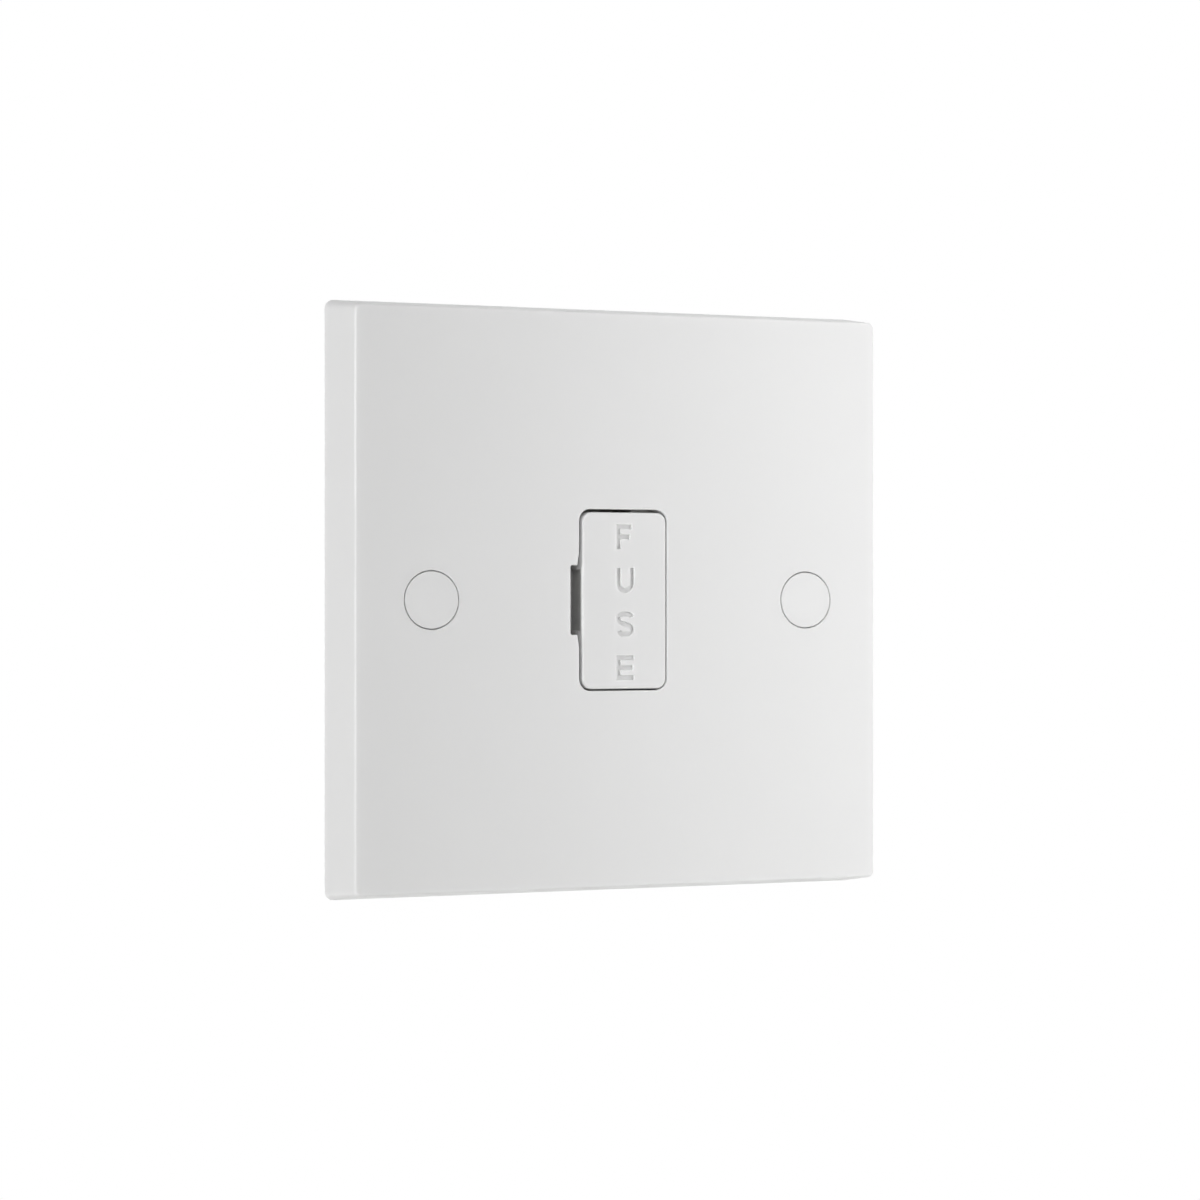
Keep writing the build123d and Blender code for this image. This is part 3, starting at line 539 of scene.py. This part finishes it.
def screw_rows_tree():
    """Geometry nodes that cut a screw's drive, set it out in rows and columns and give it its metal."""
    tree = bpy.data.node_groups.new("screw_rows", "GeometryNodeTree")
    number, count = "NodeSocketFloat", "NodeSocketInt"
    sockets = {
        "Screw": "NodeSocketGeometry", "Column Pitch": number, "Columns": count,
        "Row Pitch": number, "Rows": count, "Seat": number, "Head Height": number,
        "Drive Length": number, "Drive Width": number, "Drive Depth": number,
        "Drive Floor": number, "Wings": count, "Seed": count, "Metal": "NodeSocketMaterial",
    }
    for name, kind in sockets.items():
        tree.interface.new_socket(name, in_out="INPUT", socket_type=kind)
    tree.interface.new_socket("Screws", in_out="OUTPUT", socket_type="NodeSocketGeometry")
    given = add(tree, "NodeGroupInput").outputs

    # A wing of the drive is a four-sided frustum of unit width at its mouth, which is then stretched
    half_diagonal = math.sqrt(0.5)
    floor_radius = add(
        tree, "ShaderNodeMath", {0: given["Drive Floor"], 1: half_diagonal}, operation="MULTIPLY"
    )
    wing = add(
        tree, "GeometryNodeMeshCone",
        {"Vertices": 4, "Radius Top": half_diagonal, "Radius Bottom": floor_radius.outputs[0],
         "Depth": given["Drive Depth"]}
    )
    square = add(
        tree, "GeometryNodeTransform",
        {"Geometry": wing.outputs["Mesh"], "Rotation": (0.0, 0.0, math.pi / 4)}
    )
    stretch = add(
        tree, "ShaderNodeCombineXYZ",
        {"X": given["Drive Length"], "Y": given["Drive Width"], "Z": DRIVE_STRETCH}
    )
    floor_height = add(
        tree, "ShaderNodeMath", {0: given["Head Height"], 1: given["Drive Depth"]}, operation="SUBTRACT"
    )
    lift = add(tree, "ShaderNodeCombineXYZ", {"Z": floor_height.outputs[0]})
    slot = add(
        tree, "GeometryNodeTransform",
        {"Geometry": square.outputs[0], "Scale": stretch.outputs[0], "Translation": lift.outputs[0]}
    )
    crossing = add(tree, "GeometryNodeMeshLine", {"Count": given["Wings"], "Offset": (0.0, 0.0, 0.0)})
    quarter = add(
        tree, "ShaderNodeMath",
        {0: add(tree, "GeometryNodeInputIndex").outputs[0], 1: math.pi / 2}, operation="MULTIPLY"
    )
    quarter_turn = add(tree, "ShaderNodeCombineXYZ", {"Z": quarter.outputs[0]})
    crossed = add(
        tree, "GeometryNodeInstanceOnPoints",
        {"Points": crossing.outputs["Mesh"], "Instance": slot.outputs[0],
         "Rotation": add(tree, "FunctionNodeEulerToRotation", {0: quarter_turn.outputs[0]}).outputs[0]}
    )
    drive = add(tree, "GeometryNodeRealizeInstances", {0: crossed.outputs[0]})
    cut = add(
        tree, "GeometryNodeMeshBoolean",
        {"Mesh 1": given["Screw"], "Mesh 2": drive.outputs[0], "Self Intersection": True},
        operation="DIFFERENCE", solver="EXACT"
    )

    # The screw keeps its own place for the lathe's rings, and is smooth except at its edges
    placed = add(
        tree, "GeometryNodeStoreNamedAttribute",
        {"Geometry": cut.outputs["Mesh"], "Name": "screw_place",
         "Value": add(tree, "GeometryNodeInputPosition").outputs[0]},
        data_type="FLOAT_VECTOR", domain="POINT"
    )
    rounded = add(tree, "GeometryNodeSetShadeSmooth", {0: placed.outputs[0]}, domain="FACE")
    corner = add(
        tree, "FunctionNodeCompare",
        {0: add(tree, "GeometryNodeInputMeshEdgeAngle").outputs[0], 1: CREASE_ANGLE},
        operation="GREATER_THAN", data_type="FLOAT"
    )
    crisp = add(
        tree, "GeometryNodeSetShadeSmooth",
        {0: rounded.outputs[0], 1: corner.outputs[0], 2: False}, domain="EDGE"
    )

    places = add(
        tree, "GeometryNodeMeshGrid",
        {"Size X": given["Column Pitch"], "Size Y": given["Row Pitch"],
         "Vertices X": given["Columns"], "Vertices Y": given["Rows"]}
    )
    # Each screw was driven home by a turn of its own: sockets 0, 1 and 8 are its least, most and seed
    driven = add(
        tree, "FunctionNodeRandomValue",
        {0: (0.0, 0.0, 0.0), 1: (0.0, 0.0, math.pi), 8: given["Seed"]}, data_type="FLOAT_VECTOR"
    )
    rows = add(
        tree, "GeometryNodeInstanceOnPoints",
        {"Points": places.outputs["Mesh"], "Instance": crisp.outputs[0],
         "Rotation": add(tree, "FunctionNodeEulerToRotation", {0: driven.outputs[0]}).outputs[0]}
    )
    seat = add(tree, "ShaderNodeCombineXYZ", {"Y": given["Seat"]})
    facing_back = add(
        tree, "GeometryNodeTransform",
        {"Geometry": rows.outputs[0], "Translation": seat.outputs[0],
         "Rotation": (-math.pi / 2, 0.0, 0.0)}
    )
    whole = add(tree, "GeometryNodeRealizeInstances", {0: facing_back.outputs[0]})
    finished = add(
        tree, "GeometryNodeSetMaterial", {"Geometry": whole.outputs[0], "Material": given["Metal"]}
    )
    add(tree, "NodeGroupOutput", {"Screws": finished.outputs[0]})
    return tree


def screws(name, nodes, sizes, metal):
    """Screws with real threads and drives that stand for these CAD screws, where those are."""
    boxes = [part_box(node) for node in nodes]
    low, high = boxes[0]
    middles = [(a + b) / 2 for a, b in boxes]
    columns = sorted({round(middle.x, ROW_PLACES) for middle in middles})
    rows = sorted({round(middle.z, ROW_PLACES) for middle in middles})
    shank_length = high.y - low.y - sizes.head_height
    mesh = screw_mesh(name, sizes, shank_length, (high.x - low.x) / 2)
    mesh.materials.append(metal)
    made = new_object(name, mesh)
    tree = bpy.data.node_groups.get("screw_rows") or screw_rows_tree()
    modifier = made.modifiers.new("rows", "NODES")
    modifier.node_group = tree
    values = {
        "Column Pitch": columns[-1] - columns[0], "Columns": len(columns),
        "Row Pitch": rows[-1] - rows[0], "Rows": len(rows),
        "Seat": high.y - sizes.head_height, "Head Height": sizes.head_height,
        "Drive Length": sizes.drive_length, "Drive Width": sizes.drive_width,
        "Drive Depth": sizes.drive_depth, "Drive Floor": sizes.drive_floor,
        "Wings": sizes.wings, "Seed": sizes.seed, "Metal": metal,
    }
    for socket in tree.interface.items_tree:
        if socket.name in values:
            modifier[socket.identifier] = values[socket.name]
    graph = bpy.context.evaluated_depsgraph_get()
    finished = bpy.data.meshes.new_from_object(made.evaluated_get(graph))
    made.modifiers.clear()
    made.data = finished
    if not finished.polygons:
        raise RuntimeError(f"{name}: the nodes made no screws")
    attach(made, "housing")
    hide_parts(*nodes)
    return made


class SPUR_OT_mouldings(bpy.types.Operator):
    """Gives the plate, the carrier, the covers and the rear base their moulded whites"""

    bl_idname = "spur.mouldings"
    bl_label = "Mouldings"

    def execute(self, context):
        look = context.scene.spur_unit.mouldings
        plate = moulded_urea(
            "urea_polished_white", look.plate, look.plate_roughness, look.glow,
            POLISH_WAVE, POLISH_RELIEF
        )
        base = moulded_urea(
            "urea_eroded_white", look.base, look.base_roughness, look.glow,
            ERODED_GRAIN, ERODED_RELIEF
        )
        dress(MOULDINGS, plate)
        dress(["rear_base"], base)
        return {"FINISHED"}


class SPUR_OT_terminals(bpy.types.Operator):
    """Gives the terminal blocks, the links and the clips of the fuse their metal"""

    bl_idname = "spur.terminals"
    bl_label = "Terminals"

    def execute(self, context):
        look = context.scene.spur_unit.metal
        brass = drawn_metal("brass_drawn_bar", look.brass, BRASS_DIE_LINE, "z")
        dress([f"{terminal}_terminal" for terminal in TERMINALS], brass)
        dress(LINKS, brass)
        dress(CLIPS, drawn_metal("bronze_spring_strip", look.bronze, BRONZE_DIE_LINE, "y"))
        return {"FINISHED"}


class SPUR_OT_terminal_screws(bpy.types.Operator):
    """Makes the slotted brass screws of the terminals"""

    bl_idname = "spur.terminal_screws"
    bl_label = "Terminal screws"

    def execute(self, context):
        unit = context.scene.spur_unit
        tint = unit.metal.screw_brass
        stain = [part * BRASS_STAIN for part in tint]
        metal = turned_metal("brass_turned", tint, stain, BRASS_LATHE_RING)
        nodes = [f"{terminal}_screw" for terminal in TERMINALS]
        made = screws("terminal_screws", nodes, unit.terminal_screw, metal)
        return {"FINISHED"}


class SPUR_OT_housing_screws(bpy.types.Operator):
    """Makes the cross-recessed zinc-plated screws that hold the rear base"""

    bl_idname = "spur.housing_screws"
    bl_label = "Housing screws"

    def execute(self, context):
        unit = context.scene.spur_unit
        look = unit.metal
        metal = turned_metal("steel_zinc_plated", look.zinc, look.passivation, STEEL_LATHE_RING)
        made = screws("housing_screws", HOUSING_SCREWS, unit.housing_screw, metal)
        return {"FINISHED"}


class SPUR_OT_fuse(bpy.types.Operator):
    """Gives the cartridge fuse its ceramic and its plated caps"""

    bl_idname = "spur.fuse"
    bl_label = "Fuse"

    def execute(self, context):
        look = context.scene.spur_unit.fuse
        dress(["fuse_barrel"], steatite("steatite_ceramic", look.barrel, look.band, look.band_width))
        dress(FUSE_CAPS, nickel_plate("nickel_plated_cap", look.cap))
        return {"FINISHED"}


def softbox(name, place, width, height, mirrored, watts):
    """Area lamp that faces the middle of the plate, with or without an image in its gloss."""
    lamp = bpy.data.lights.new(name, "AREA")
    lamp.shape = "RECTANGLE"
    lamp.size, lamp.size_y = width, height
    lamp.energy = watts
    made = new_object(name, lamp)
    made.location = place
    made.rotation_euler = (-Vector(place)).to_track_quat("-Z", "Y").to_euler()
    made.visible_camera = False
    made.visible_glossy = mirrored


def seen_rays(tree):
    """Socket that is one for rays from the camera, a reflection or a clear piece, and none for light."""
    rays = add(tree, "ShaderNodeLightPath").outputs
    direct = add(
        tree, "ShaderNodeMath",
        {0: rays["Is Camera Ray"], 1: rays["Is Glossy Ray"]}, operation="MAXIMUM"
    )
    seen = add(
        tree, "ShaderNodeMath",
        {0: direct.outputs[0], 1: rays["Is Transmission Ray"]}, operation="MAXIMUM"
    )
    return seen.outputs[0]


class SPUR_OT_stage(bpy.types.Operator):
    """Sets the camera, the lamps, the pale floor and the white surroundings"""

    bl_idname = "spur.stage"
    bl_label = "Stage"

    def execute(self, context):
        scene = context.scene
        studio = scene.spur_unit.studio
        scene.view_settings.view_transform = "Standard"
        self.set_camera(scene, studio)
        self.set_floor(studio)
        self.set_world(scene, studio)
        for name, shape in LAMPS.items():
            softbox(f"{name}_lamp", *shape, getattr(studio, name))
        return {"FINISHED"}

    def set_camera(self, scene, studio):
        """Level camera on the photograph's line of sight."""
        data = bpy.data.cameras.new("camera")
        data.lens = studio.lens
        data.sensor_width = SENSOR_WIDTH
        camera = new_object("camera", data)
        across = Vector((math.cos(studio.turn), -math.sin(studio.turn), 0.0))
        ahead = Vector((math.sin(studio.turn), math.cos(studio.turn), 0.0))
        face = Vector((0.0, cad_box[0].y, 0.0))
        camera.location = face - across * studio.aside - ahead * studio.distance
        camera.rotation_euler = (math.pi / 2, 0.0, -studio.turn)
        scene.camera = camera

    def set_floor(self, studio):
        """Round sheet of pale paper, which fades into the white round it and keeps the unit's shadow."""
        paper = bmesh.new()
        bmesh.ops.create_circle(paper, cap_ends=True, segments=FLOOR_SIDES, radius=FLOOR_RADIUS)
        mesh = bpy.data.meshes.new("floor")
        paper.to_mesh(mesh)
        paper.free()
        floor = new_object("floor", mesh)
        floor.location.z = -studio.floor_drop
        material, tree, shader, place = surface(
            "paper_pale", {"Base Color": (*studio.floor, 1), "Roughness": 0.9, "Specular IOR Level": 0.1}
        )
        away = add(tree, "ShaderNodeVectorMath", {0: place}, operation="LENGTH")
        fade = add(
            tree, "ShaderNodeMapRange",
            {"Value": away.outputs["Value"], "From Min": FADE_FROM, "From Max": FADE_TO,
             "To Min": FADE_LEAST},
            interpolation_type="SMOOTHSTEP"
        )
        seen_fade = add(
            tree, "ShaderNodeMath", {0: fade.outputs["Result"], 1: seen_rays(tree)}, operation="MULTIPLY"
        )
        white = add(tree, "ShaderNodeEmission", {"Color": WHITE, "Strength": 1.0})
        sheet = add(
            tree, "ShaderNodeMixShader",
            {0: seen_fade.outputs[0], 1: shader.outputs["BSDF"], 2: white.outputs["Emission"]}
        )
        tree.links.new(sheet.outputs["Shader"], tree.nodes["Material Output"].inputs["Surface"])
        mesh.materials.append(material)

    def set_world(self, scene, studio):
        """White to the eye and in reflections, and a soft even light on the unit."""
        world = bpy.data.worlds.new("studio")
        world.use_nodes = True
        tree = world.node_tree
        soft = tree.nodes["Background"]
        soft.inputs["Color"].default_value = WHITE
        soft.inputs["Strength"].default_value = studio.ambient
        white = add(tree, "ShaderNodeBackground", {"Color": WHITE, "Strength": 1.0})
        either = add(
            tree, "ShaderNodeMixShader",
            {0: seen_rays(tree), 1: soft.outputs["Background"], 2: white.outputs["Background"]}
        )
        tree.links.new(either.outputs["Shader"], tree.nodes["World Output"].inputs["Surface"])
        scene.world = world


OPERATORS = (
    SPUR_OT_mouldings, SPUR_OT_terminals, SPUR_OT_terminal_screws, SPUR_OT_housing_screws, SPUR_OT_fuse,
    SPUR_OT_stage,
)


class SPUR_PT_unit(bpy.types.Panel):
    """Lists the unit's pieces and their settings."""

    bl_idname = "SPUR_PT_unit"
    bl_label = "Fused spur unit"
    bl_space_type = "VIEW_3D"
    bl_region_type = "UI"
    bl_category = "Spur unit"

    def draw(self, context):
        for operator in OPERATORS:
            self.layout.operator(operator.bl_idname)
        unit = context.scene.spur_unit
        for group in unit.bl_rna.properties:
            if group.type != "POINTER" or group.identifier == "rna_type":
                continue
            box = self.layout.box()
            box.label(text=group.name)
            settings = getattr(unit, group.identifier)
            for setting in settings.bl_rna.properties:
                if setting.identifier not in ("rna_type", "name"):
                    box.prop(settings, setting.identifier)


CLASSES = (
    SpurMouldings, SpurMetal, SpurFuse, SpurTerminalScrew, SpurHousingScrew, SpurStudio, SpurUnit,
    *OPERATORS, SPUR_PT_unit,
)


def register():
    """Adds the classes, and the unit's settings to every scene."""
    for kind in CLASSES:
        bpy.utils.register_class(kind)
    bpy.types.Scene.spur_unit = PointerProperty(type=SpurUnit)


def unregister():
    """Takes the settings and the classes away again."""
    del bpy.types.Scene.spur_unit
    for kind in reversed(CLASSES):
        bpy.utils.unregister_class(kind)


def main():
    """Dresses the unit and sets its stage."""
    register()
    bpy.ops.spur.mouldings()
    bpy.ops.spur.terminals()
    bpy.ops.spur.terminal_screws()
    bpy.ops.spur.housing_screws()
    bpy.ops.spur.fuse()
    bpy.ops.spur.stage()


if __name__ == "__main__":
    main()
